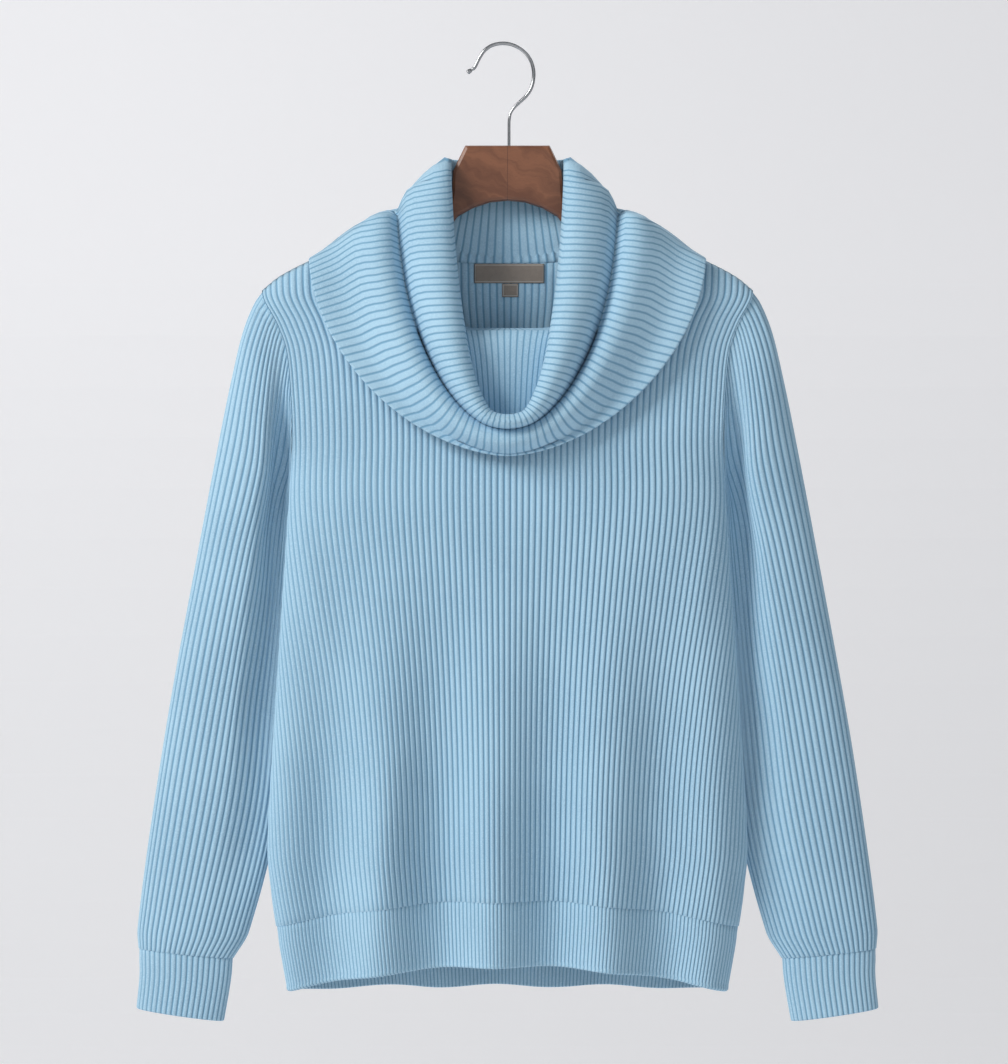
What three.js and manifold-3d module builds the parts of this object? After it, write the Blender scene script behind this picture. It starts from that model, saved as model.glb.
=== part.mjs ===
// A ribbed cowl-neck pullover on a wooden hanger with a steel hook, in millimetres.
// The front faces -Y, +Z is up, and the origin is the underside of the hook's bend.
import * as THREE from "three";
import { mergeVertices } from "three/addons/utils/BufferGeometryUtils.js";
import Module from "manifold-3d";

const wasm = await Module();
wasm.setup();

// Cloth
const WALL = 2.6; // thickness over a rib
const RIB_RELIEF = 0.9; // how far the wall is lower between two ribs
const SEAM_GAP = 0.3; // between two pieces at a seam
const ROW_GAP = 0.6; // between a piece and one that starts on its slanting edge

// Ribs, counted across a panel or round a tube
const RIBS = { panel: 58, hem: 72, sleeve: 38, cuff: 28, collarFront: 32, collarBack: 16 };
const PLAIN_COLUMNS = { panel: 24, hem: 24, sleeve: 18, cuff: 18, collarFront: 13, collarBack: 6 };

// Body: half its width at each height, from the shoulder tips down the armholes to the hem
const SIDE = [
  { z: -830, half: 184 },
  { z: -815, half: 187 },
  { z: -758, half: 196.5 },
  { z: -727, half: 201 },
  { z: -690, half: 205 },
  { z: -600, half: 201 },
  { z: -500, half: 195.5 },
  { z: -440, half: 191.5 },
  { z: -380, half: 187.5 },
  { z: -340, half: 184.5 },
  { z: -300, half: 186 },
  { z: -262, half: 190 },
  { z: -240, half: 198 },
  { z: -213, half: 211 },
  { z: -100, half: 211 },
];
// Height of the shoulder seam at each distance from the middle
const SHOULDER = [
  { x: 0, z: -116 },
  { x: 80, z: -147 },
  { x: 128, z: -167 },
  { x: 168, z: -186 },
  { x: 211, z: -211 },
  { x: 250, z: -238 },
];
const SHOULDER_TIP = { x: 211, z: -211 };
const SHOULDER_ROUND = 28; // height over which the cloth turns from the seam to the front
const ARMPIT_Z = -372;
const ARMHOLE_CLOSE = { from: -325, least: 0.4 }; // how far the edge rolls in along the armhole
const NECK_HALF = 80;
const NECK_POINT_Z = -147;
const NECK_POWER = 3; // of the neckline's curve
const DEPTH = { shoulder: 16, chest: 30, from: -190, over: 230 };
const FOLDS = { spacing: 96, ridge: -15, most: 5, from: -430, over: 370 };

// What differs between the front (side -1) and the back (side 1), and the hem's heights at the sides
const FRONT = { side: -1, neckDrop: 98, swell: 1, seamZ: -737, edgeZ: -792 };
const BACK = { side: 1, neckDrop: 40, swell: 0.6, seamZ: -751, edgeZ: -807 };
const SIDES = { seamZ: -760, edgeZ: -816 };

// Rows of a panel, as shares of the way from its top to the hem seam
const ARMPIT_ROW = (SHOULDER_TIP.z - ARMPIT_Z) / (SHOULDER_TIP.z - SIDES.seamZ);
const ARMHOLE_ROWS = [0, 0.01, 0.035, 0.09, 0.18, ARMPIT_ROW];
const PANEL_ROWS = [...ARMHOLE_ROWS, 0.6, 1];

// Sleeve sections from the armhole to the cuff: outer edge, inner edge, shift back, half depth
const SLEEVE = [
  { outX: 227, outZ: -252, inX: 188.6, inZ: -376.5, back: 5.5, half: 20.5 },
  { outX: 246, outZ: -330, inX: 186.6, inZ: -394, back: 13, half: 24 },
  { outX: 265, outZ: -425, inX: 186.5, inZ: -448, back: 18, half: 25 },
  { outX: 287, outZ: -545, inX: 192, inZ: -556, back: 17.5, half: 23.5 },
  { outX: 305, outZ: -655, inX: 199, inZ: -662, back: 15, half: 20 },
  { outX: 319, outZ: -760, inX: 223, inZ: -764, back: 9, half: 17 },
  { outX: 318, outZ: -777.5, inX: 236, inZ: -786, back: 7, half: 14 },
];
const CUFF = [
  { outX: 318, outZ: -777.9, inX: 236, inZ: -786.4, back: 7, half: 14 },
  { outX: 317, outZ: -799, inX: 239, inZ: -810, back: 6, half: 13 },
  { outX: 319.5, outZ: -828, inX: 244, inZ: -839, back: 5, half: 13 },
];

// Collar rings from the neck seam to the loose edge. A ring crosses the top of the shoulder at
// sideX, sideZ. In the middle of the front and of the back it stands at y and z, or, where it has
// a lift, that far off the body at z. Seen from the front, spread is the power of its width, fall
// and soften the powers of its drop, and foot the share of its width that is a flat foot.
const COLLAR = [
  { sideX: 75, sideZ: -143, spread: 1, fall: 3, soften: 1, foot: 0 },
  { sideX: 69, sideZ: -134, spread: 1, fall: 3, soften: 1, foot: 0 },
  { sideX: 62, sideZ: -122, spread: 1.06, fall: 2.6, soften: 0.9, foot: 0.08 },
  { sideX: 56, sideZ: -109, spread: 1.15, fall: 2.2, soften: 0.7, foot: 0.17 },
  { sideX: 54, sideZ: -98, spread: 1.2, fall: 2, soften: 0.58, foot: 0.21 },
  { sideX: 68, sideZ: -108, spread: 1.14, fall: 2, soften: 0.57, foot: 0.15 },
  { sideX: 93, sideZ: -146.5, spread: 1.08, fall: 2, soften: 0.54, foot: 0.06, lift: 6 },
  { sideX: 104, sideZ: -141, spread: 1.08, fall: 2, soften: 0.54, foot: 0.03, lift: 16 },
  { sideX: 135, sideZ: -159.5, spread: 1.11, fall: 2, soften: 0.555, foot: 0, lift: 11 },
  { sideX: 168.5, sideZ: -180.5, spread: 1.14, fall: 2, soften: 0.57, foot: 0, lift: 6 },
];
const COLLAR_FRONT = [
  { y: -21.5, z: -238.5 },
  { y: -28, z: -240.5 },
  { y: -32, z: -290 },
  { y: -39, z: -339 },
  { y: -49, z: -316.5 },
  { y: -58, z: -323 },
  { lift: 24, z: -331.5 },
  { lift: 29, z: -338 },
  { lift: 17, z: -346 },
  { lift: 10, z: -353 },
];
const COLLAR_BACK = [
  { y: 16.5, z: -172 },
  { y: 17.5, z: -154 },
  { y: 19.5, z: -132 },
  { y: 21.5, z: -112 },
  { y: 26, z: -99 },
  { y: 33, z: -105 },
  { lift: 10, z: -139 },
  { lift: 21, z: -134 },
  { lift: 18, z: -190 },
  { lift: 8, z: -238 },
];
const FOOT_REACH = 0.25; // sine of the angle at which the flat foot ends
const BACK_FALL = { fall: 2, soften: 0.6 };
const FORWARD_POWER = 0.4; // how fast the standing rings come forward from the shoulder
const BACKWARD_POWER = 0.55;
const COLLAR_SHAPE = { wide: 95, tall: 190, bow: 1.85 }; // middle ring, by which the ribs are spaced
const LIFT_FADE = 0.03; // cosine over which the front and back lifts close at the shoulder

// Neck label and size tab, sewn inside the back
const LABEL = { left: -29, right: 32, top: -188.5, bottom: -204 };
const TAB = { left: -4.7, right: 9.5, top: -204.6, bottom: -216 };
const LABEL_WALL = 0.8;

// Hanger: outlines on the right-hand side as [x, z]
const HANGER = { half: 6, bevel: 3, under: 2.8, tipX: 186, armFrom: 98, armDeep: 24, tipDeep: 14 };
const BLOCK = { topZ: -87, topHalf: 36.3, shoulderX: 47, shoulderZ: -109 };
const NECK_CURVE = [[48.5, -130], [53, -148], [64, -158.5], [82, -163]];
const ARM_X = [HANGER.armFrom, 113, 128, 152, 172, HANGER.tipX];
const ARCH = [[78, -182], [62, -172], [50, -157.5], [43, -148], [30, -140.5], [15, -135.5]];
const ARCH_TOP = [0, -134];

// Hook: a bend round the origin's rail between a turned-out tip and a straight shank
const HOOK = { wire: 3, ball: 4.3, radius: 24.3, midX: -2.1, shankEnd: -111, socketEnd: -113 };
const HOOK_TIP = [[-34.6, -23.6], [-30.4, -19.6]];
const HOOK_BEND = { from: 165, to: -45, step: 15 };
const HOOK_SHANK = [[7.4, -51.5], [2.2, -59.5], [1.3, -68], [1.3, -88], [1.3, HOOK.shankEnd]];
const HOOK_SIDES = 8;
const SOCKET_SIDES = 12;
const HOOK_STEPS = 32;

const clamp = (t) => Math.min(1, Math.max(0, t));
const smooth = (t) => clamp(t) ** 2 * (3 - 2 * clamp(t));

// A smooth curve through a table's rows, read at one value.
function read(table, from, to, at) {
  const last = table.length - 1;
  let k = 0;
  while (k < last - 1 && at > table[k + 1][from]) k++;
  const slope = (i) => {
    const a = table[Math.max(0, i - 1)];
    const b = table[Math.min(last, i + 1)];
    return (b[to] - a[to]) / (b[from] - a[from]);
  };
  const a = table[k];
  const b = table[k + 1];
  const span = b[from] - a[from];
  const t = clamp((at - a[from]) / span);
  const blend = t * t * (3 - 2 * t);
  const start = t * (1 - t) ** 2 * span * slope(k);
  const end = t * t * (t - 1) * span * slope(k + 1);
  return a[to] + (b[to] - a[to]) * blend + start + end;
}

const halfWidth = (z) => read(SIDE, "z", "half", z);
const shoulderZ = (x) => read(SHOULDER, "x", "z", Math.abs(x));
const neckDip = (x) => 1 - Math.abs(x / NECK_HALF) ** NECK_POWER;
const neckZ = (piece, x) => NECK_POINT_Z - piece.neckDrop * neckDip(x);
const topZ = (piece, x) => (Math.abs(x) < NECK_HALF ? neckZ(piece, x) : shoulderZ(x));

// How deep the cloth stands at a height, with the soft folds that grow towards the hem.
function depthAt(piece, x, z) {
  const swell = (DEPTH.chest - DEPTH.shoulder) * smooth((DEPTH.from - z) / DEPTH.over);
  const wave = Math.cos((2 * Math.PI * (x - FOLDS.ridge)) / FOLDS.spacing);
  const fold = FOLDS.most * smooth((FOLDS.from - z) / FOLDS.over);
  return DEPTH.shoulder + swell * piece.swell + fold * wave;
}

// Turning of the cloth over the shoulder: 0 on the seam and 1 where it hangs straight.
function overShoulder(x, z, lift) {
  const t = clamp((shoulderZ(x) + lift - z) / (SHOULDER_ROUND + lift));
  return Math.sqrt(1 - (1 - t) ** 2);
}

// A point of a panel at u from -1 to 1 across and at a height, moved in by inset.
function panelPoint(piece, u, z, inset) {
  const { from, least } = ARMHOLE_CLOSE;
  const below = smooth((from - z) / (from - ARMPIT_Z));
  const close = least + (1 - least) * below;
  const rolled = Math.sqrt(Math.max(0, 1 - u ** 4));
  const flat = 1 - u ** 6;
  const edge = flat + (rolled - flat) * smooth(below);
  const x = u * (halfWidth(z) - inset * close);
  const full = (depthAt(piece, x, z) - inset) * overShoulder(x, z, -inset);
  return [x, piece.side * (SEAM_GAP / 2 + full * (1 - close * (1 - edge))), z];
}

// Height where the column u starts on the shoulder seam or the neckline.
function columnTop(piece, u, inset) {
  let z = SHOULDER_TIP.z;
  for (let turn = 0; turn < 40; turn++) z = (z + topZ(piece, u * halfWidth(z))) / 2;
  return Math.abs(u * halfWidth(z)) < NECK_HALF ? z : z - inset;
}

const bend = (mid, side, u) => mid + (side - mid) * Math.abs(u) ** 2.2;

// Shares from -1 to 1 that are evenly spaced along the rolled section of the body.
function evenAcross(count) {
  const steps = 2000;
  const wide = 195;
  const lengths = [0];
  const at = (i) => -1 + (2 * i) / steps;
  const deep = (u) => DEPTH.chest * Math.sqrt(Math.max(0, 1 - u ** 4));
  for (let i = 1; i <= steps; i++) {
    const run = Math.hypot((at(i) - at(i - 1)) * wide, deep(at(i)) - deep(at(i - 1)));
    lengths.push(lengths[i - 1] + run);
  }
  return evenly(lengths, count).map((share) => -1 + 2 * share);
}

// Positions, as shares of a list of running lengths, that part it into equal lengths.
function evenly(lengths, count) {
  const last = lengths.length - 1;
  let k = 0;
  return Array.from({ length: count + 1 }, (_, i) => {
    const want = (lengths[last] * i) / count;
    while (k < last - 1 && lengths[k + 1] < want) k++;
    return (k + (want - lengths[k]) / (lengths[k + 1] - lengths[k])) / last;
  });
}

// Angles from start to end that are evenly spaced on a bowed oval.
function evenAngles(wide, tall, power, start, end, count) {
  const steps = 1000;
  const lengths = [0];
  const point = (i) => {
    const a = start + ((end - start) * i) / steps;
    return [wide * Math.abs(Math.sin(a)) ** (2 / power), tall * Math.abs(Math.cos(a)) ** (2 / power)];
  };
  for (let i = 1; i <= steps; i++) {
    const [x0, z0] = point(i - 1);
    const [x1, z1] = point(i);
    lengths.push(lengths[i - 1] + Math.hypot(x1 - x0, z1 - z0));
  }
  return evenly(lengths, count).map((share) => start + (end - start) * share);
}

// A row of points, each at its share of the way along, from a function of the share's index.
function row(stations, at) {
  const last = stations.length - 1;
  return stations.map((station, i) => ({ share: i / last, p: at(station, i) }));
}

// A closed cloth wall between the rows of its ribbed side and as many rows of its plain side.
function wall(name, material, ribbed, plain, round) {
  const points = [];
  const index = [];
  const store = (line) => {
    const kept = round ? line.slice(0, -1) : line;
    const first = points.length / 3;
    kept.forEach(({ p }) => points.push(...p));
    return line.map(({ share }, i) => ({ share, id: first + (i % kept.length) }));
  };
  const zip = (a, b) => {
    let i = 0;
    let j = 0;
    while (i < a.length - 1 || j < b.length - 1) {
      const stepA = j === b.length - 1 || (i < a.length - 1 && a[i + 1].share <= b[j + 1].share);
      index.push(a[i].id, stepA ? a[i + 1].id : b[j + 1].id, b[j].id);
      if (stepA) i++;
      else j++;
    }
  };
  const outer = ribbed.map(store);
  const inner = plain.map(store);
  const last = outer.length - 1;
  for (let i = 0; i < last; i++) {
    zip(outer[i + 1], outer[i]);
    zip(inner[i], inner[i + 1]);
  }
  zip(outer[0], inner[0]);
  zip(inner[last], outer[last]);
  if (!round) {
    const start = (line) => line[0].id;
    const end = (line) => line[line.length - 1].id;
    for (let i = 0; i < last; i++) {
      index.push(start(outer[i]), start(inner[i]), start(inner[i + 1]));
      index.push(start(outer[i]), start(inner[i + 1]), start(outer[i + 1]));
      index.push(end(outer[i]), end(inner[i + 1]), end(inner[i]));
      index.push(end(outer[i]), end(outer[i + 1]), end(inner[i + 1]));
    }
  }
  return meshOf(name, material, points, index);
}

// A named mesh whose faces point outwards.
function meshOf(name, material, points, index) {
  let volume = 0;
  const corner = (k) => new THREE.Vector3(...points.slice(3 * index[k], 3 * index[k] + 3));
  for (let k = 0; k < index.length; k += 3) {
    volume += corner(k).dot(corner(k + 1).cross(corner(k + 2)));
  }
  const turned = [0, 1, -1];
  const faces = volume < 0 ? index.map((id, k) => index[k + turned[k % 3]]) : index;
  const geometry = new THREE.BufferGeometry();
  geometry.setAttribute("position", new THREE.Float32BufferAttribute(points, 3));
  geometry.setIndex(faces);
  geometry.computeVertexNormals();
  const mesh = new THREE.Mesh(geometry, material);
  mesh.name = name;
  return mesh;
}

const reliefAt = (i) => (i % 2 === 0 ? 0 : RIB_RELIEF);

// Front or back panel, from the shoulders and neckline to the hem seam.
function panel(name, piece, material) {
  const fine = evenAcross(2 * RIBS.panel);
  const coarse = evenAcross(PLAIN_COLUMNS.panel);
  const at = (u, share, inset, thick) => {
    const top = columnTop(piece, u, thick);
    const z = top + (bend(piece.seamZ, SIDES.seamZ, u) - top) * share;
    return panelPoint(piece, u, z, inset + thick);
  };
  const relief = (share, i) => (share === 0 ? 0 : reliefAt(i));
  const ribbed = PANEL_ROWS.map((share) => row(fine, (u, i) => at(u, share, relief(share, i), 0)));
  const plain = PANEL_ROWS.map((share) => row(share ? coarse : fine, (u) => at(u, share, 0, WALL)));
  return wall(name, material, ribbed, plain, false);
}

// Hem band of a panel, with its own finer ribs.
function hem(name, piece, material) {
  const fine = evenAcross(2 * RIBS.hem);
  const coarse = evenAcross(PLAIN_COLUMNS.hem);
  const at = (u, share, inset) => {
    const top = bend(piece.seamZ, SIDES.seamZ, u) - 2 * SEAM_GAP;
    const z = top + (bend(piece.edgeZ, SIDES.edgeZ, u) - top) * share;
    return panelPoint(piece, u, z, inset);
  };
  const rows = [0, 1];
  const ribbed = rows.map((share) => row(fine, (u, i) => at(u, share, reliefAt(i))));
  const plain = rows.map((share) => row(share ? fine : coarse, (u) => at(u, share, WALL)));
  return wall(name, material, ribbed, plain, false);
}

// Point of a slanting oval section: angle 0 is the outer edge, and the front comes next.
function sectionPoint(section, hand, angle, inset) {
  const { outX, outZ, inX, inZ, back, half } = section;
  const reach = Math.hypot(outX - inX, outZ - inZ) / 2;
  const along = ((reach - inset) / reach) * Math.cos(angle);
  const x = (outX + inX) / 2 + ((outX - inX) / 2) * along;
  const z = (outZ + inZ) / 2 + ((outZ - inZ) / 2) * along;
  return [hand * x, back - (half - inset) * Math.sin(angle), z];
}

// Point on the armhole edge of the body, read along the edge's straight pieces.
function armholePoint(hand, angle, inset) {
  const piece = Math.sin(angle) >= 0 ? FRONT : BACK;
  const middle = (SHOULDER_TIP.z + ARMPIT_Z) / 2;
  const z = middle + (SHOULDER_TIP.z - middle) * Math.cos(angle);
  const top = SHOULDER_TIP.z - inset;
  const edge = ARMHOLE_ROWS.map((share) => panelPoint(piece, 1, top + (SIDES.seamZ - top) * share, inset));
  let k = 0;
  while (k < edge.length - 2 && z < edge[k + 1][2]) k++;
  const t = clamp((z - edge[k][2]) / (edge[k + 1][2] - edge[k][2]));
  const mixed = edge[k].map((v, axis) => v + (edge[k + 1][axis] - v) * t);
  const onMiddle = Math.abs(Math.sin(angle)) < 1e-6;
  return [hand * (mixed[0] + ROW_GAP), onMiddle ? 0 : mixed[1], mixed[2]];
}

const SLEEVE_SHAPE = { wide: 24, tall: 48 }; // section by which the ribs are spaced

// Sleeve or cuff: a ribbed tube through its sections.
function tube(name, hand, start, sections, ribs, columns, material) {
  const { wide, tall } = SLEEVE_SHAPE;
  const angles = (count) => evenAngles(wide, tall, 2, 0, 2 * Math.PI, count);
  const fine = angles(2 * ribs);
  const coarse = angles(columns);
  const rows = start ? [start, ...sections] : sections;
  const at = (section, angle, inset) =>
    section === start ? armholePoint(hand, angle, inset) : sectionPoint(section, hand, angle, inset);
  const relief = (section, i) => (section === start ? 0 : reliefAt(i));
  const ribbed = rows.map((section) => row(fine, (a, i) => at(section, a, relief(section, i))));
  const plain = rows.map((section) => row(section === start ? fine : coarse, (a) => at(section, a, WALL)));
  return wall(name, material, ribbed, plain, true);
}

// Point on the neckline, a row gap inside it, on the wall's inner (inset) or outer side.
function neckPoint(angle, inset) {
  const piece = Math.cos(angle) >= 0 ? FRONT : BACK;
  const x = NECK_HALF * Math.sin(angle);
  const power = Math.abs(x / NECK_HALF) ** (NECK_POWER - 1);
  const steep = (Math.sign(x) * NECK_POWER * piece.neckDrop * power) / NECK_HALF;
  const length = Math.hypot(steep, 1);
  const onX = x - (ROW_GAP * steep) / length;
  const onZ = neckZ(piece, x) + ROW_GAP / length;
  if (Math.abs(Math.cos(angle)) < 1e-6) return [onX, 0, onZ - inset];
  const z = Math.min(onZ, shoulderZ(onX) - inset);
  return panelPoint(piece, onX / halfWidth(z), z, inset);
}

// Point of the collar's ring k at an angle from the middle of the front.
function ringPoint(k, angle) {
  const ring = COLLAR[k];
  const ahead = Math.cos(angle) >= 0;
  const c = Math.abs(Math.cos(angle));
  const s = Math.abs(Math.sin(angle));
  const middle = ahead ? COLLAR_FRONT[k] : COLLAR_BACK[k];
  const { fall, soften } = ahead ? ring : BACK_FALL;
  const foot = ahead ? ring.foot : 0;
  const flat = Math.sin((Math.PI / 2) * clamp(s / FOOT_REACH));
  const wide = (1 - foot) * s ** (ahead ? ring.spread : 1) + foot * flat;
  const x = Math.sign(Math.sin(angle)) * ring.sideX * wide;
  const z = ring.sideZ + (middle.z - ring.sideZ) * Math.max(0, 1 - s ** fall) ** soften;
  if (ring.lift === undefined) return [x, middle.y * c ** (ahead ? FORWARD_POWER : BACKWARD_POWER), z];
  const lift = ring.lift + (middle.lift - ring.lift) * smooth(c);
  const piece = ahead ? FRONT : BACK;
  const deep = (depthAt(piece, x, z) + lift) * overShoulder(x, z, lift);
  return [x, piece.side * deep * smooth(c / LIFT_FADE), z];
}

// Angles round the collar, evenly spaced on its front and on its back.
function collarAngles(front, back) {
  const { wide, tall, bow } = COLLAR_SHAPE;
  const ahead = evenAngles(wide, tall, bow, 0, Math.PI / 2, front);
  const behind = evenAngles(wide, wide, 2, Math.PI / 2, Math.PI, back).slice(1);
  const half = [...ahead, ...behind];
  return [...half, ...half.slice(0, -1).reverse().map((a) => 2 * Math.PI - a)];
}

const sub = (a, b) => new THREE.Vector3(a[0] - b[0], a[1] - b[1], a[2] - b[2]);

// The folded collar: one wall from the neck seam up inside the neck, over and down outside.
function collar(material) {
  const fine = collarAngles(2 * RIBS.collarFront, 2 * RIBS.collarBack);
  const coarse = collarAngles(PLAIN_COLUMNS.collarFront, PLAIN_COLUMNS.collarBack);
  const at = (k, angle) => (k === 0 ? neckPoint(angle, WALL) : ringPoint(k - 1, angle));
  const last = COLLAR.length;
  const turn = 0.01;
  const moved = (k, angle, inset) => {
    const here = at(k, angle);
    if (inset === 0) return here;
    if (k === 0) return neckPoint(angle, 0);
    const round = sub(at(k, angle + turn), at(k, angle - turn));
    const before = sub(here, at(k - 1, angle)).normalize();
    const after = k < last ? sub(at(k + 1, angle), here).normalize() : before;
    const out = before.add(after).cross(round).normalize();
    return here.map((v, axis) => v + out.getComponent(axis) * inset);
  };
  const ks = Array.from({ length: last + 1 }, (_, k) => k);
  const ribbed = ks.map((k) => row(fine, (a, i) => moved(k, a, k === 0 ? 0 : reliefAt(i))));
  const plain = ks.map((k) => row(k % last === 0 ? fine : coarse, (a) => moved(k, a, WALL)));
  return wall("collar", material, ribbed, plain, true);
}

// A woven tape that lies on the inside of the back panel.
function tape(name, { left, right, top, bottom }, material) {
  const stations = Array.from({ length: 7 }, (_, i) => left + ((right - left) * i) / 6);
  const at = (x, z, away) => {
    const [px, py, pz] = panelPoint(BACK, x / halfWidth(z), z, WALL);
    return [px, py - away, pz];
  };
  const rows = [top, bottom];
  const near = rows.map((z) => row(stations, (x) => at(x, z, SEAM_GAP + LABEL_WALL)));
  const far = rows.map((z) => row(stations, (x) => at(x, z, SEAM_GAP)));
  return wall(name, material, near, far, false);
}

// A manifold solid of a geometry, and a geometry of such a solid.
function solidOf(geometry) {
  const bare = geometry.clone();
  bare.deleteAttribute("normal");
  bare.deleteAttribute("uv");
  const merged = mergeVertices(bare, 1e-4);
  const vertProperties = merged.attributes.position.array;
  const triVerts = new Uint32Array(merged.index.array);
  return new wasm.Manifold(new wasm.Mesh({ numProp: 3, vertProperties, triVerts }));
}
function solidMesh(name, material, solid) {
  const { vertProperties, triVerts } = solid.getMesh();
  return meshOf(name, material, Array.from(vertProperties), Array.from(triVerts));
}

// Wooden hanger: a neck block with a chamfered top, an arched underside and two sloping arms.
function hangerBody(material) {
  const armTop = (x) => shoulderZ(x) - WALL - HANGER.under;
  const alongArm = (x) => (x - HANGER.armFrom) / (HANGER.tipX - HANGER.armFrom);
  const armDeep = (x) => HANGER.armDeep + (HANGER.tipDeep - HANGER.armDeep) * alongArm(x);
  const top = [[0, BLOCK.topZ], [BLOCK.topHalf, BLOCK.topZ], [BLOCK.shoulderX, BLOCK.shoulderZ]];
  const arm = ARM_X.map((x) => [x, armTop(x)]);
  const under = ARM_X.map((x) => [x, armTop(x) - armDeep(x)]).reverse();
  const right = [...top, ...NECK_CURVE, ...arm, ...under, ...ARCH];
  const left = right.slice(1).reverse().map(([x, z]) => [-x, z]);
  const outline = [...right, ARCH_TOP, ...left].map(([x, z]) => new THREE.Vector2(x, z));
  const flat = 2 * (HANGER.half - HANGER.bevel);
  const geometry = new THREE.ExtrudeGeometry(new THREE.Shape(outline), {
    depth: flat,
    bevelEnabled: true,
    bevelSegments: 2,
    bevelSize: HANGER.bevel,
    bevelThickness: HANGER.bevel,
    bevelOffset: -HANGER.bevel,
  });
  geometry.translate(0, 0, -flat / 2).rotateX(Math.PI / 2);
  const length = BLOCK.topZ + HANGER.bevel - HOOK.socketEnd;
  const bore = HOOK.wire / 2 + SEAM_GAP;
  const socket = new THREE.CylinderGeometry(bore, bore, length, SOCKET_SIDES);
  const [shankX] = HOOK_SHANK[HOOK_SHANK.length - 1];
  socket.rotateX(Math.PI / 2).translate(shankX, 0, HOOK.socketEnd + length / 2);
  return solidMesh("hanger_body", material, solidOf(geometry).subtract(solidOf(socket)));
}

// Bent wire hook with a turned-out tip that ends in a small ball.
function hangerHook(material) {
  const midZ = HOOK.wire / 2 - HOOK.radius;
  const path = [...HOOK_TIP];
  for (let turn = HOOK_BEND.from; turn >= HOOK_BEND.to; turn -= HOOK_BEND.step) {
    const a = (turn * Math.PI) / 180;
    path.push([HOOK.midX + HOOK.radius * Math.cos(a), midZ + HOOK.radius * Math.sin(a)]);
  }
  path.push(...HOOK_SHANK);
  const curve = new THREE.CatmullRomCurve3(path.map(([x, z]) => new THREE.Vector3(x, 0, z)));
  const section = new THREE.Shape();
  for (let i = 0; i < HOOK_SIDES; i++) {
    const a = (2 * Math.PI * i) / HOOK_SIDES;
    const [x, y] = [(HOOK.wire / 2) * Math.cos(a), (HOOK.wire / 2) * Math.sin(a)];
    if (i === 0) section.moveTo(x, y);
    else section.lineTo(x, y);
  }
  section.closePath();
  const sweep = { steps: HOOK_STEPS, extrudePath: curve, bevelEnabled: false };
  const wire = new THREE.ExtrudeGeometry(section, sweep);
  const [[tipX, tipZ]] = HOOK_TIP;
  const ball = new THREE.SphereGeometry(HOOK.ball / 2, 10, 6).translate(tipX, 0, tipZ);
  return solidMesh("hanger_hook", material, solidOf(wire).add(solidOf(ball)));
}

const wool = () => new THREE.MeshStandardMaterial({ color: 0x9ac6df, roughness: 0.95, metalness: 0 });
const tapeCloth = () => new THREE.MeshStandardMaterial({ color: 0x7b7067, roughness: 0.8, metalness: 0 });
const walnut = new THREE.MeshStandardMaterial({ color: 0x5b3a2b, roughness: 0.5, metalness: 0 });
const chrome = new THREE.MeshStandardMaterial({ color: 0xd8d8d8, roughness: 0.12, metalness: 1 });

const group = new THREE.Group();
group.add(panel("front_panel", FRONT, wool()));
group.add(panel("back_panel", BACK, wool()));
group.add(hem("hem_front", FRONT, wool()));
group.add(hem("hem_back", BACK, wool()));
for (const [hand, side] of [[-1, "left"], [1, "right"]]) {
  group.add(tube("sleeve_" + side, hand, "armhole", SLEEVE, RIBS.sleeve, PLAIN_COLUMNS.sleeve, wool()));
  group.add(tube("cuff_" + side, hand, null, CUFF, RIBS.cuff, PLAIN_COLUMNS.cuff, wool()));
}
group.add(collar(wool()));
group.add(tape("neck_label", LABEL, tapeCloth()));
group.add(tape("size_tab", TAB, tapeCloth()));
group.add(hangerBody(walnut));
group.add(hangerHook(chrome));

export default group;
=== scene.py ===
"""A ribbed cowl-neck sweater on a wooden hanger, dressed for its picture.

Shapes are worked out in millimetres in the part's own frame: the front faces -Y, +Z is up and
the origin is the underside of the hook's bend. They become metres where a mesh is made.
"""

import bpy
import numpy as np
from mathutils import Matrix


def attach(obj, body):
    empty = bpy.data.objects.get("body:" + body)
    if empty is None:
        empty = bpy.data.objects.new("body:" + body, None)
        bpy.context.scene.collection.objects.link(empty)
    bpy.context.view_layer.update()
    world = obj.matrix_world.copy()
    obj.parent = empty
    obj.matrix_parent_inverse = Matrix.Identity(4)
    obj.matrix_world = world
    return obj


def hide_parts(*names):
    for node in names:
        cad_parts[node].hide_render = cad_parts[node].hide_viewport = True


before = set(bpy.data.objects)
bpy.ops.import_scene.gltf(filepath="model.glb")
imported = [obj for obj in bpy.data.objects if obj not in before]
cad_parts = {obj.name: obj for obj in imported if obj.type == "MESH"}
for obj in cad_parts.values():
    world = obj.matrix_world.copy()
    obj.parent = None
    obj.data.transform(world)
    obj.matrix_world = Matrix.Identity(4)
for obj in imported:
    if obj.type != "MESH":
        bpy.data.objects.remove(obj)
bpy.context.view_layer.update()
MM = 0.001

# Cloth: wall, gaps between pieces, depth of the grooves outside and inside, how far each kind of
# edge hangs round below its last row, and the raised bead along a loose edge
WALL = 2.6
SEAM_GAP = 0.3
ROW_GAP = 0.3
GROOVE = {"body": 1.5, "hem": 0.9, "sleeve": 1.4, "cuff": 1.0, "collar": 1.6, "inside": 0.5}
GROOVE_POWER = 2.1
LIP = {"body": 0.4, "hem": 1.2, "sleeve": 0.3, "cuff": 1.2, "collar": 1.2, "tape": 0.1}
LIP_ROWS = 3
BEAD_WIDTH = 1.1
HEM_BEAD = {"height": 0.5, "at": 1.2}
COLLAR_BEAD = {"height": 0.55, "at": 1.4}
LEAST_RELIEF = 0.25

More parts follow.
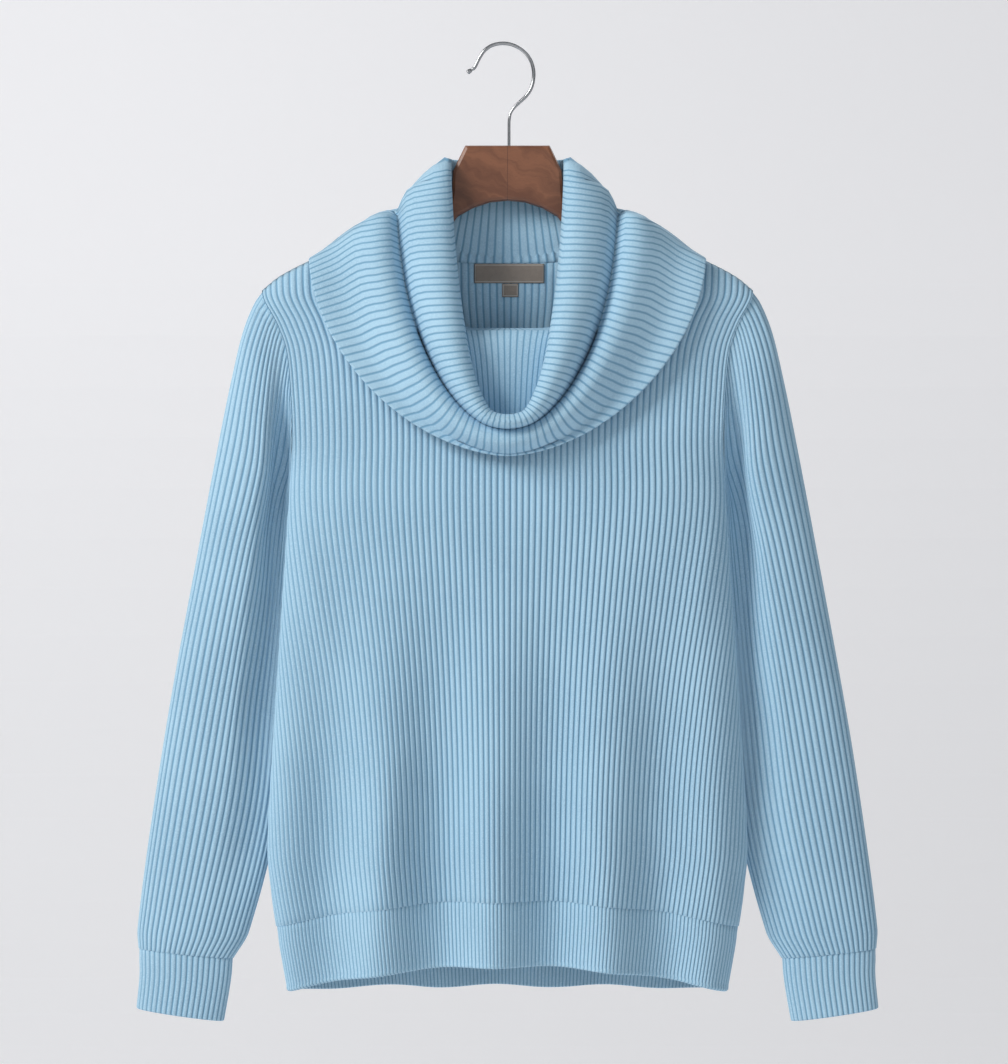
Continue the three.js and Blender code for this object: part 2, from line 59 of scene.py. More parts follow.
# Body: half its width at each height, from the hem up the armholes to the shoulder tips
SIDE = [
    (-830, 186), (-812, 189.5), (-758, 199), (-727, 203.5), (-690, 206.5), (-600, 202),
    (-500, 195.5), (-440, 191.5), (-380, 187.5), (-340, 184.5), (-300, 186), (-262, 190),
    (-240, 198), (-213, 211), (-100, 211),
]
# Height of the shoulder seam at each distance from the middle
SHOULDER = [(0, -116), (80, -147), (128, -167), (168, -184.5), (196, -199), (211, -211), (250, -244)]
SHOULDER_TIP = (211, -211)
SHOULDER_ROUND = 28
ARMPIT_Z = -372
ARMHOLE_CLOSE = {"from": -325, "least": 0.4}
NECK_HALF = 80
NECK_POINT_Z = -147
NECK_POWER = 6
# The body's depth, its vertical folds towards the hem, and how front and back differ: the side
# they face, the drop of the neckline, the share of the swell, and the hem seam and edge
DEPTH = {"shoulder": 16, "chest": 30, "from": -190, "over": 230}
FOLDS = {"spacing": 96, "ridge": -10, "most": 11.5, "from": -400, "over": 330}
FRONT = {"side": -1, "drop": 98, "swell": 1, "seam": -733.5, "edge": -788.5}
BACK = {"side": 1, "drop": 40, "swell": 0.6, "seam": -755, "edge": -811}
SIDES = {"seam": -757.5, "edge": -812.5}
# Shares of the way down the side at which the armhole's edge is worked out
ARMHOLE_ROWS = np.array([0, 0.01, 0.035, 0.09, 0.18, (-211 - ARMPIT_Z) / (-211 + 760)])

# Ribs across one panel at each height, round a sleeve, a cuff and the collar
BODY_RIBS = [
    (-840, 104), (-740, 102), (-650, 98), (-560, 90), (-470, 80), (-400, 73.5), (-345, 72),
    (-100, 72),
]
BODY_COLUMNS = 102  # ribs in a panel's mesh, drawn together where a height has fewer
HEM_RIBS = 128
SLEEVE_RIBS = 46
CUFF_RIBS = 40
COLLAR_RIBS = {"front": 90, "back": 32}
RIB_STEPS = 6  # columns of the mesh on one rib

# Rows of the meshes, on the outside and on the plainer inside
BODY_ROWS, BODY_EVERY = 103, 3
HEM_ROWS = 17
SLEEVE_ROWS, SLEEVE_ROWS_IN = 132, 46
CUFF_ROWS = 26
COLLAR_ROWS, COLLAR_ROWS_IN = 100, 30

# Sleeve sections down to the cuff: outer edge x, z, inner edge x, z, shift back, half depth, how
# far the front is drawn back beside the body, and how far the ribs lead round to the inside
SLEEVE = [
    (247, -330, 186.2, -396, 11, 23, 0.8, 1),
    (265.5, -425, 186.5, -448, 15, 24, 0.95, 0.62),
    (287.5, -545, 191, -556, 16, 23, 0.9, 0.28),
    (305.5, -655, 198, -662, 14, 20, 0.5, 0.1),
    (319, -760, 223, -764, 9, 17, 0.1, 0),
    (318, -777.5, 236, -786, 7, 14, 0, 0),
]
CUFF = [
    (318, -777.9, 236, -786.4, 7, 14, 0, 0),
    (317, -799, 239, -810, 6, 13, 0, 0),
    (319.5, -828, 244, -839, 5, 13, 0, 0),
]
# Sleeve cap: share of the way from the armhole to the first section, bulge outwards and forwards
CAP = [(0.09, 4.6, 1), (0.3, 7, 3), (0.62, 4.5, 3)]
# How far the sleeve's edge starts inside the armhole, and its share of the armhole's depth
ARMHOLE_INSIDE = 1.8
ARMHOLE_FLAT = 0.9
# Angle on the armhole at which the rib of each sleeve angle starts, and its lead further down
ARMHOLE_START = [
    (0, 0), (0.4, 0.42), (0.85, 0.74), (1.4, 1.08), (1.95, 1.64), (2.5, 2.35), (3.1416, 3.1416),
]
RIB_LEAD = [(0, 0), (0.7, 0.34), (1.4, 0.54), (2.2, 0.4), (3.1416, 0)]

# Collar rings from the neck seam to the loose edge. shoulder is x, z on top of the shoulder,
# and front and back are y, z in the middle, or lift, z where the ring rests on the body. Seen
# from the front, spread, fall, soften and foot (its share and reach) shape the ring, and twist
# leads the ribs on round.
RING_WORDS = ("shoulder", "front", "back", "spread", "fall", "soften", "foot", "twist", "lift")
COLLAR = [
    dict(zip(RING_WORDS, words))
    for words in (
        ((75, -143), (-22, -249.5), (16.5, -176), 1, 6, 1, (0.3, 0.5), 0),
        ((69, -134), (-29.5, -251), (17.5, -154), 1, 6, 1, (0.35, 0.5), 0),
        ((63, -124), (-29, -274), (19.5, -134), 1.06, 4.4, 0.95, (0.35, 0.5), 0),
        ((55, -109), (-23, -341), (21.5, -112), 1.12, 2.5, 0.75, (0.2, 0.35), -0.03),
        ((51, -98.5), (-53, -322.5), (26, -99), 1.15, 2.2, 0.58, (0.16, 0.25), -0.07),
        ((64, -107.5), (-63.5, -325.5), (33, -105), 1.12, 2.1, 0.57, (0.13, 0.25), -0.04),
        ((83, -125.5), (-54, -329), (32, -121), 1.08, 2, 0.55, (0.07, 0.25), 0.04),
        ((94, -145), (5, -331), (6, -133), 1.08, 2, 0.54, (0.05, 0.25), 0.1, 2.4),
        ((103, -144.5), (25, -335), (19, -136), 1.08, 2, 0.54, (0.04, 0.25), 0.115, 17.5),
        ((114, -148), (27, -342), (23, -156), 1.09, 2, 0.545, (0.02, 0.25), 0.125, 20),
        ((129, -157), (18, -348), (19, -178), 1.1, 2, 0.55, (0, 0.25), 0.165, 12),
        ((147.5, -170), (9, -351.5), (13, -208), 1.12, 2, 0.56, (0, 0.25), 0.17, 5),
        ((168.5, -185), (11, -354.5), (8, -238), 1.14, 2, 0.57, (0, 0.25), 0.2, 6.5),
    )
]
# Powers of the cosine with which rings off the body bulge forwards and backwards, and the cosine
# within which a resting ring crosses the shoulder
FORWARD_POWER = 0.33
BACKWARD_POWER = 0.55
LIFT_FADE = 0.03

LABEL = {"left": -29, "right": 32, "top": -187.4, "bottom": -204}
TAB = {"left": -4.7, "right": 9.5, "top": -204.6, "bottom": -216}
LABEL_WALL = 0.8

# Soft creases: top x, z, low x, z, width, height of the ridge, and 1 where the low end fades
FRONT_CREASES = [
    (-186, -372, -150, -560, 13, 3, 1),
    (188, -366, 152, -540, 13, 2.8, 1),
    (-92, -560, -118, -800, 17, 4, 0),
    (60, -520, 82, -800, 15, 3.2, 0),
    (-20, -600, -14, -800, 14, 2.6, 0),
    (120, -600, 166, -800, 16, 3, 0),
]
BACK_CREASES = [
    (-180, -372, -130, -600, 15, 1.6, 1),
    (182, -366, 140, -580, 14, 1.6, 1),
    (-60, -520, -84, -800, 18, 2, 0),
    (52, -560, 40, -800, 16, 1.6, 0),
    (110, -500, 140, -800, 17, 1.6, 0),
]


def clamp(t):
    return np.clip(t, 0, 1)


def smooth(t):
    """Ramp from 0 to 1 with level ends: 3 t squared less 2 t cubed, t held to 0 and 1."""
    t = clamp(t)
    return t * t * (3 - 2 * t)


def read(table, at):
    """Curve through the rows (place, value) of a table: between two rows a cubic whose slope at
    each is that of the line between that row's neighbours."""
    place, value = np.array(table, float).T
    after, before = np.append(place[1:], place[-1]), np.append(place[0], place[:-1])
    slope = (np.append(value[1:], value[-1]) - np.append(value[0], value[:-1])) / (after - before)
    k = np.clip(np.searchsorted(place, at, side="right") - 1, 0, len(place) - 2)
    span = place[k + 1] - place[k]
    t = clamp((at - place[k]) / span)
    mix = value[k] + (value[k + 1] - value[k]) * smooth(t)
    return mix + t * (1 - t) ** 2 * span * slope[k] + t * t * (t - 1) * span * slope[k + 1]


def half_width(z):
    return read(SIDE, z)


def shoulder_z(x):
    return read(SHOULDER, np.abs(x))


def neck_z(piece, x):
    """Neckline: the neck point's height less the drop times one less the sixth power of x over
    the half."""
    return NECK_POINT_Z - piece["drop"] * (1 - np.abs(x / NECK_HALF) ** NECK_POWER)


def top_z(piece, x):
    return np.where(np.abs(x) < NECK_HALF, neck_z(piece, x), shoulder_z(x))


def creases(table, x, z):
    """Sum of soft ridges, each a bell across a slanting line, that rise from nothing at the top."""
    total = np.zeros(np.broadcast(x, z).shape)
    for top_x, top, low_x, low, width, height, fades in table:
        t = clamp((top - z) / (top - low))
        rise = smooth(t * 2.2) * (1 - fades * smooth(t * 2 - 1))
        total += height * rise * np.exp(-(((x - top_x - (low_x - top_x) * t) / width) ** 2))
    return total


def depth_at(piece, x, z):
    """Depth of the cloth: shoulder depth, a swell down to the chest, and a wave that grows
    down to the hem."""
    swell = (DEPTH["chest"] - DEPTH["shoulder"]) * smooth((DEPTH["from"] - z) / DEPTH["over"])
    wave = np.cos(2 * np.pi * (x - FOLDS["ridge"]) / FOLDS["spacing"])
    fold = FOLDS["most"] * smooth((FOLDS["from"] - z) / FOLDS["over"])
    return DEPTH["shoulder"] + swell * piece["swell"] + fold * wave


def over_shoulder(x, z, lift):
    """Quarter circle from 0 on the shoulder seam to 1 where the cloth hangs straight."""
    t = clamp((shoulder_z(x) + lift - z) / (SHOULDER_ROUND + lift))
    return np.sqrt(1 - (1 - t) ** 2)


def panel_point(piece, u, z, inset, table=()):
    """Point of a panel at u from -1 to 1 across and at a height, moved in by inset: the depth
    times the fourth-power oval of u, which opens to a flatter sixth power along the armhole."""
    least = ARMHOLE_CLOSE["least"]
    below = smooth((ARMHOLE_CLOSE["from"] - z) / (ARMHOLE_CLOSE["from"] - ARMPIT_Z))
    close = least + (1 - least) * below
    rolled = np.sqrt(np.maximum(0, 1 - u**4))
    flat = 1 - u**6
    edge = flat + (rolled - flat) * smooth(below)
    x = u * (half_width(z) - inset * close)
    full = (depth_at(piece, x, z) + creases(table, x, z) - inset) * over_shoulder(x, z, -inset)
    y = piece["side"] * (SEAM_GAP / 2 + full * (1 - close * (1 - edge)))
    return np.stack(np.broadcast_arrays(x, y, z), axis=-1)


def column_top(piece, u, inset):
    """Height at which the column u meets the shoulder seam or the neckline, by halving steps."""
    z = np.full(np.shape(u), float(SHOULDER_TIP[1]))
    for _ in range(40):
        z = (z + top_z(piece, u * half_width(z))) / 2
    return np.where(np.abs(u * half_width(z)) < NECK_HALF, z, z - inset)


def bend(middle, side, u):
    return middle + (side - middle) * np.abs(u) ** 2.2


def even(points, shares):
    """Places at given shares of the running length of a line of points, as positions 0 to 1."""
    run = np.concatenate([[0], np.cumsum(np.linalg.norm(np.diff(points, axis=0), axis=1))])
    return np.interp(shares * run[-1], run, np.linspace(0, 1, len(points)))


def across(shares):
    """u for shares -1 to 1 that are even along the rolled section of the body."""
    u = np.linspace(-1, 1, 4001)
    section = np.stack([195 * u, 30 * np.sqrt(np.maximum(0, 1 - u**4))], axis=1)
    table = -1 + 2 * even(section, np.linspace(0, 1, 2001))
    return np.interp(shares, np.linspace(-1, 1, 2001), table)


def round_angles(wide, tall, power, start, end, shares):
    """Angles from start to end, even along an oval whose powers of sine and cosine are 2/power."""
    a = np.linspace(start, end, 3001)
    oval_x = wide * np.abs(np.sin(a)) ** (2 / power)
    oval_y = tall * np.abs(np.cos(a)) ** (2 / power)
    oval = np.stack([oval_x, oval_y], axis=1)
    return start + (end - start) * even(oval, shares)


def groove(rib, deep):
    """Relief of a rib: nothing over its broad top and deep in the groove half-way to the next."""
    off = 2 * np.abs(rib - np.round(rib))
    return deep * off**GROOVE_POWER


def bead(left, edge):
    """Raised bead along a loose edge: a bell over the length left to the edge."""
    return edge["height"] * np.exp(-(((left - edge["at"]) / BEAD_WIDTH) ** 2))


def flattened(left, start):
    """Share of the relief of the ribs that is left near a loose edge."""
    return LEAST_RELIEF + (1 - LEAST_RELIEF) * smooth(left / 3 - start)


def closed_wall(outer, inner, lip):
    """Rows of a wall's section: down the outer side, round its lower edge in a half circle that
    hangs lip below, up the inner side and over the top edge."""
    def turn(a, b, direction, bulge):
        t = np.linspace(0, 1, LIP_ROWS + 2)[1:-1, None, None]
        mid, arm = (a + b) / 2, (a - b) / 2
        return mid + arm * np.cos(np.pi * t) + direction * bulge * np.sin(np.pi * t)

    def away(a, before):
        step = a - before
        return step / np.maximum(np.linalg.norm(step, axis=-1, keepdims=True), 1e-9)

    low = turn(outer[-1], inner[-1], away(outer[-1], outer[-2]), lip)
    high = turn(inner[0], outer[0], away(outer[0], outer[1]), SEAM_GAP / 2)
    return np.concatenate([outer, low, inner[::-1], high])


def wall_rows(outer, inner):
    """Values for the rows of a closed wall, from those of its outer and its inner rows."""
    low, high = np.repeat(outer[-1:], LIP_ROWS, 0), np.repeat(outer[:1], LIP_ROWS, 0)
    return np.concatenate([outer, low, inner[::-1], high])


def halves(here, under):
    """Corners of the two triangles in each cell between rows of values and the rows under them:
    all first halves, then all second halves."""
    a, b, c, d = here[:, :-1], here[:, 1:], under[:, 1:], under[:, :-1]
    shape = (-1, 3) + here.shape[2:]
    return np.concatenate([np.stack(three, 2).reshape(shape) for three in ((a, b, c), (a, c, d))])


def unlike(faces):
    """True for each triangle whose three corners are different points."""
    a, b, c = faces.T
    return (a != b) & (b != c) & (c != a)


def inside_out(points, faces):
    """True where the triangles of a closed mesh face inwards: their volume is negative."""
    p, q, r = (points[faces[:, k]] for k in range(3))
    return (p * np.cross(q, r)).sum() < 0


def make_mesh(name, rows, rib, run, material, fine=None, every=1, shut=None):
    """Mesh of a wall from its closed rows of points. rib is the rib number of each column and run
    the length along the ribs of each row, for the pattern. Without fine the columns close into a
    tube. With it, the number of outer rows, the wall closes along its side edges: each inner row
    shares the edge point of an outer row, every so many, and slivers fill the rows between. Where
    shut is true, a column has run out past the side edge and its points are drawn together."""
    count, columns = rows.shape[:2]
    index = np.arange(count * columns).reshape(count, columns)
    slivers = np.zeros((0, 3), int)
    if fine is None:
        index[:, -1] = index[:, 0]
    else:
        number = np.arange(columns)
        shut = np.zeros((count, columns), bool) if shut is None else shut
        left = np.where(shut & (number < columns // 2), number, 0).max(axis=1)
        right = np.where(shut & (number > columns // 2), number, columns - 1).min(axis=1)
        column = np.clip(number[None, :], left[:, None], right[:, None])
        index = np.take_along_axis(index, column, axis=1)
        coarse = count - fine - 2 * LIP_ROWS
        anchor = wall_rows(np.arange(fine), np.arange(coarse) * every)
        ends = index[anchor, 0], index[anchor, -1]
        index = np.where(number <= left[:, None], ends[0][:, None], index)
        index = np.where(number >= right[:, None], ends[1][:, None], index)
        start = np.arange(0, fine - 1, every)[:, None]
        step = np.arange(1, every)[None, :]
        for edge, way in ((index[:fine, 0], 1), (index[:fine, -1], -1)):
            fan = np.stack([edge[start + 0 * step], edge[start + step], edge[start + step + 1]], -1)
            slivers = np.concatenate([slivers, fan.reshape(-1, 3)[:, ::way]])
    u = np.broadcast_to(rib, (count, columns))
    v = np.broadcast_to(run, (count, columns))
    faces = halves(index, np.roll(index, -1, axis=0))
    uv = halves(np.stack([u, v], -1), np.stack([u, np.roll(v, -1, axis=0)], -1))
    faces = np.concatenate([faces, slivers])
    uv = np.concatenate([uv, np.zeros((len(slivers), 3, 2))])
    kept = unlike(faces)
    faces, uv = faces[kept], uv[kept]
    points = rows.reshape(-1, 3)
    if inside_out(points, faces):
        faces, uv = faces[:, ::-1], uv[:, ::-1]
    return put_mesh(name, points, faces, material, uv)


def put_mesh(name, points, faces, material, uv=None):
    """Puts points in millimetres and triangles into a smooth mesh object at the origin."""
    used, faces = np.unique(faces, return_inverse=True)
    faces = faces.reshape(-1, 3)
    mesh = bpy.data.meshes.new(name)
    mesh.vertices.add(len(used))
    mesh.vertices.foreach_set("co", (points[used] * MM).ravel())
    mesh.loops.add(faces.size)
    mesh.loops.foreach_set("vertex_index", faces.ravel())
    mesh.polygons.add(len(faces))
    mesh.polygons.foreach_set("loop_start", np.arange(0, faces.size, 3))
    mesh.polygons.foreach_set("loop_total", np.full(len(faces), 3))
    mesh.polygons.foreach_set("use_smooth", np.ones(len(faces), bool))
    if uv is not None:
        layer = mesh.uv_layers.new(name="pattern")
        layer.data.foreach_set("uv", uv.reshape(-1))
    mesh.update(calc_edges=True)
    mesh.validate()
    mesh.materials.append(material)
    made = bpy.data.objects.new(name, mesh)
    bpy.context.scene.collection.objects.link(made)
    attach(made, "root")
    return made


def rib_columns(count):
    """Rib numbers of the mesh's columns, with one column in each groove."""
    return np.linspace(-count / 2, count / 2, int(count) * RIB_STEPS + 1)


def body_grid(piece, columns, rows, bottom, inset, thick, table):
    """Points of a panel whose columns follow its ribs: u is the share of the height's own rib
    count, found in a few rounds because the height depends on u. With them come True where a
    column has run out past the side edge, and the heights."""
    ribs = rib_columns(columns)
    share = ribs[None, :] / (columns / 2)
    for _ in range(8):
        u = across(np.clip(share, -1, 1))
        top = column_top(piece, u, thick)
        low = bend(piece[bottom], SIDES[bottom], u)
        z = top + (low - top) * rows[:, None]
        share = 2 * ribs[None, :] / read(BODY_RIBS, z)
    return panel_point(piece, u, z, inset, table), np.abs(share) >= 1, z


def body_panel(name, piece, table, material):
    """Panel: the body's surface from the shoulders and the neckline to the hem seam."""
    ribs = rib_columns(BODY_COLUMNS)
    fine = np.linspace(0, 1, BODY_ROWS) ** 1.12
    deep = groove(ribs, GROOVE["body"])[None, :]
    thin = WALL - groove(ribs, GROOVE["inside"])[None, :]
    outer, shut, z = body_grid(piece, BODY_COLUMNS, fine, "seam", deep, 0, table)
    inner, shut_in, z_in = body_grid(piece, BODY_COLUMNS, fine[::BODY_EVERY], "seam", thin, WALL, table)
    rows = closed_wall(outer, inner, LIP["body"])
    run = wall_rows(z, z_in) * MM
    shut = wall_rows(shut, shut_in)
    return make_mesh(name, rows, ribs[None, :], run, material, BODY_ROWS, BODY_EVERY, shut)


def hem_band(name, piece, table, material):
    """Hem band: the body's surface carried on below the seam, with finer ribs and a round edge."""
    ribs = rib_columns(HEM_RIBS)
    u = across(np.linspace(-1, 1, len(ribs)))[None, :]
    top = bend(piece["seam"], SIDES["seam"], u) - SEAM_GAP / 2
    low = bend(piece["edge"], SIDES["edge"], u)
    t = 1 - (1 - np.linspace(0, 1, HEM_ROWS)[:, None]) ** 1.6
    z = top + (low - top) * t
    left = z - low
    pulled = 0.8 * smooth(1 - t * 3)
    relief = groove(ribs, GROOVE["hem"])[None, :] * flattened(left, 0.5)
    outer = panel_point(piece, u, z, relief + pulled - bead(left, HEM_BEAD), table)
    inner = panel_point(piece, u, z, WALL - groove(ribs, GROOVE["inside"])[None, :], table)
    rows = closed_wall(outer, inner, LIP["hem"])
    return make_mesh(name, rows, ribs[None, :], wall_rows(z, z) * MM, material, HEM_ROWS)


def section_point(section, hand, angle, inset):
    """Point of a slanting oval: angle 0 is the outer edge, and the front comes next, where the
    inner part is drawn back by the hollow."""
    values = (value[..., None] for value in np.moveaxis(section, -1, 0))
    out_x, out_z, in_x, in_z, back, half, hollow, lead = values
    turned = np.angle(np.exp(1j * angle))
    angle = angle + lead * np.sign(turned) * read(RIB_LEAD, np.abs(turned))
    reach = np.hypot(out_x - in_x, out_z - in_z) / 2
    along = (reach - inset) / reach * np.cos(angle)
    x = (out_x + in_x) / 2 + (out_x - in_x) / 2 * along
    z = (out_z + in_z) / 2 + (out_z - in_z) / 2 * along
    drawn = np.where(np.sin(angle) > 0, 1 - hollow * smooth((-0.1 - np.cos(angle)) / 0.7), 1)
    y = back - (half - inset) * np.sin(angle) * drawn
    return np.stack(np.broadcast_arrays(hand * x, y, z), axis=-1)


def armhole_point(hand, angle, inset):
    """Point on the armhole edge of the body, where the rib of a sleeve angle starts."""
    middle = (SHOULDER_TIP[1] + ARMPIT_Z) / 2
    turned = np.angle(np.exp(1j * angle))
    angle = np.sign(turned) * read(ARMHOLE_START, np.abs(turned))
    z = middle + (SHOULDER_TIP[1] - middle) * np.cos(angle)
    ahead = np.sin(angle) >= 0
    top = SHOULDER_TIP[1] - inset
    heights = (top + (SIDES["seam"] - top) * ARMHOLE_ROWS)[::-1]
    edges = [panel_point(piece, np.ones(len(heights)), heights, inset) for piece in (FRONT, BACK)]
    x, y = (
        np.where(ahead, *(np.interp(z, heights, edge[:, axis]) for edge in edges)) for axis in (0, 1)
    )
    y = np.where(np.abs(np.sin(angle)) < 1e-6, 0, y)
    x = hand * (x - ARMHOLE_INSIDE)
    return np.stack([x, y * ARMHOLE_FLAT, np.clip(z, heights[0], heights[-1])], axis=-1)


def along_rows(lines, count, spread=1.0):
    """Smooth rows through a few rows of points: a cubic through each column, whose slope at a row
    is that of the line between that row's neighbours, parted by the mean length between rows."""
    lines = np.asarray(lines)
    step = np.linalg.norm(np.diff(lines, axis=0), axis=-1).mean(axis=1)
    place = np.concatenate([[0], np.cumsum(step)])
    at = place[-1] * np.linspace(0, 1, count) ** spread
    k = np.clip(np.searchsorted(place, at, side="right") - 1, 0, len(place) - 2)
    after, before = np.append(place[1:], place[-1]), np.append(place[0], place[:-1])
    rise = np.concatenate([lines[1:], lines[-1:]]) - np.concatenate([lines[:1], lines[:-1]])
    slope = rise / (after - before)[:, None, None]
    span = (place[k + 1] - place[k])[:, None, None]
    t = ((at - place[k])[:, None, None]) / span
    mix = lines[k] + (lines[k + 1] - lines[k]) * smooth(t)
    return mix + t * (1 - t) ** 2 * span * slope[k] + t * t * (t - 1) * span * slope[k + 1], at


def outward(rows, hand):
    """Unit normals of a grid of points whose columns run round it."""
    down = np.gradient(rows, axis=0)
    wrapped = np.concatenate([rows[:, -2:-1], rows, rows[:, 1:2]], axis=1)
    round_it = (wrapped[:, 2:] - wrapped[:, :-2]) / 2
    normal = np.cross(down, round_it) * hand
    return normal / np.maximum(np.linalg.norm(normal, axis=-1, keepdims=True), 1e-9)


# Sleeve creases: place down the sleeve 0 to 1, angle, slant, length, width, height. They are
# shifted along by a little on each sleeve, one up and one down.
SLEEVE_SHIFT = 0.03
CREASE_WIDER = 1.6
SLEEVE_CREASES = [
    (0.16, 1.8, 0.1, 0.17, 0.2, -12),
    (0.16, 1.1, 0.5, 0.16, 0.35, 2.2),
    (0.30, 1.7, 0.7, 0.15, 0.32, -1.8),
    (0.46, 1.0, -0.5, 0.14, 0.35, 1.8),
    (0.60, 1.9, 0.6, 0.13, 0.38, -1.6),
    (0.76, 1.2, 0.4, 0.12, 0.36, 1.7),
    (0.90, 1.7, -0.5, 0.09, 0.4, -1.4),
    (0.25, 4.6, 0.6, 0.15, 0.4, 1.9),
    (0.50, 4.2, -0.5, 0.16, 0.4, -1.7),
    (0.74, 4.9, 0.5, 0.14, 0.4, 1.6),
]


def sleeve_creases(place, angle, shift):
    """Sum of soft dents and swells, each a bell along and a bell round the sleeve, slanting."""
    total = 0
    for at, turn, slant, length, width, height in SLEEVE_CREASES:
        along = place - at - shift
        round_it = np.angle(np.exp(1j * (angle - turn - slant * along / length)))
        away = (along / length) ** 2 + (round_it / width / CREASE_WIDER) ** 2
        total = total + height * np.exp(-away)
    return total


def sleeve(name, hand, material):
    """Sleeve: ribbed tube through the armhole edge and the slanting ovals down to the cuff seam."""
    shares = np.linspace(0, 1, SLEEVE_RIBS * RIB_STEPS + 1)
    angle = round_angles(24, 48, 2, 0, 2 * np.pi, shares)
    ribs = shares * SLEEVE_RIBS
    sections = np.array(SLEEVE, float)

    def rows(inset, count):
        start = armhole_point(hand, angle, np.minimum(inset, WALL))
        lines = section_point(sections, hand, angle, inset)
        cap = [
            start + (lines[0] - start) * share
            + np.stack([hand * out * np.cos(angle / 2) ** 4, -front * np.sin(angle), 0 * angle], -1)
            for share, out, front in CAP
        ]
        return along_rows(np.concatenate([start[None], cap, lines]), count)

    def swell(at):
        place = (at / at[-1])[:, None]
        ends = smooth(place * 8) * smooth((1 - place) * 14)
        return sleeve_creases(place, angle[None, :], SLEEVE_SHIFT * hand) * ends

    base, at = rows(0, SLEEVE_ROWS)
    relief = groove(ribs, GROOVE["sleeve"])[None, :] * smooth((at / at[-1])[:, None] * 60)
    outer = base - outward(base, hand) * (swell(at) - relief)[..., None]
    plain, at_in = rows(WALL - 0.6, SLEEVE_ROWS_IN)
    inner = plain - outward(plain, hand) * swell(at_in)[..., None]
    run = wall_rows(at, at_in)[:, None] * -MM
    return make_mesh(name, closed_wall(outer, inner, LIP["sleeve"]), ribs[None, :], run, material)


def cuff(name, hand, material):
    """Cuff: finer ribbed tube through three ovals, with a round lower edge."""
    shares = np.linspace(0, 1, CUFF_RIBS * RIB_STEPS + 1)
    angle = round_angles(24, 48, 2, 0, 2 * np.pi, shares)
    ribs = shares * CUFF_RIBS
    sections = np.array(CUFF, float)
    deep = groove(ribs, GROOVE["cuff"])[None, :]
    thin = WALL - groove(ribs, GROOVE["inside"])[None, :]
    (base, at), (outer, _), (inner, _) = (
        along_rows(section_point(sections, hand, angle, inset), CUFF_ROWS) for inset in (0, deep, thin)
    )
    outer = outer + outward(base, hand) * 0.7 * smooth(1 - at / at[-1] * 4)[:, None, None]
    run = wall_rows(at, at)[:, None] * -MM
    return make_mesh(name, closed_wall(outer, inner, LIP["cuff"]), ribs[None, :], run, material)


def neck_point(angle, inset):
    """Point on the neckline, a row gap inside it across its slope."""
    ahead = np.cos(angle) >= 0
    x = NECK_HALF * np.sin(angle)
    drop = np.where(ahead, FRONT["drop"], BACK["drop"])
    power = np.abs(x / NECK_HALF) ** (NECK_POWER - 1)
    steep = np.sign(x) * NECK_POWER * drop * power / NECK_HALF
    length = np.hypot(steep, 1)
    on_x = x - ROW_GAP * steep / length
    level = np.where(ahead, neck_z(FRONT, x), neck_z(BACK, x)) + ROW_GAP / length
    z = np.minimum(level, shoulder_z(on_x) - inset)
    u = on_x / half_width(z)
    y = np.where(ahead, panel_point(FRONT, u, z, inset)[..., 1], panel_point(BACK, u, z, inset)[..., 1])
    edge = np.abs(np.cos(angle)) < 1e-6
    return np.stack([on_x, np.where(edge, 0, y), np.where(edge, level - inset, z)], axis=-1)


def ring_point(ring, angle):
    """Point of a collar ring: its width is a power of the sine of the angle mixed with a flat
    foot, and its height falls from the shoulder with one less a power of that sine. The angle is
    first led on by the twist times the square of its sine."""
    angle = angle + ring["twist"] * np.sin(angle) * np.abs(np.sin(angle))
    ahead = np.cos(angle) >= 0
    c, s = np.abs(np.cos(angle)), np.abs(np.sin(angle))
    share, reach = ring["foot"]
    foot = np.where(ahead, share, 0)
    flat = np.sin(np.pi / 2 * clamp(s / reach))
    wide = (1 - foot) * s ** np.where(ahead, ring["spread"], 1) + foot * flat
    side_x, side_z = ring["shoulder"]
    x = np.sign(np.sin(angle)) * side_x * wide
    fall, soften = np.where(ahead, ring["fall"], 2), np.where(ahead, ring["soften"], 0.6)
    middle = np.where(ahead, ring["front"][1], ring["back"][1])
    z = side_z + (middle - side_z) * np.maximum(0, 1 - s**fall) ** soften
    if "lift" not in ring:
        y = np.where(ahead, ring["front"][0] * c**FORWARD_POWER, ring["back"][0] * c**BACKWARD_POWER)
        return np.stack([x, y, z], axis=-1)
    lift = ring["lift"] + (np.where(ahead, ring["front"][0], ring["back"][0]) - ring["lift"]) * smooth(c)
    over = over_shoulder(x, z, lift)
    y = np.where(ahead, -(depth_at(FRONT, x, z) + lift), depth_at(BACK, x, z) + lift) * over
    return np.stack([x, y * smooth(c / LIFT_FADE), z], axis=-1)


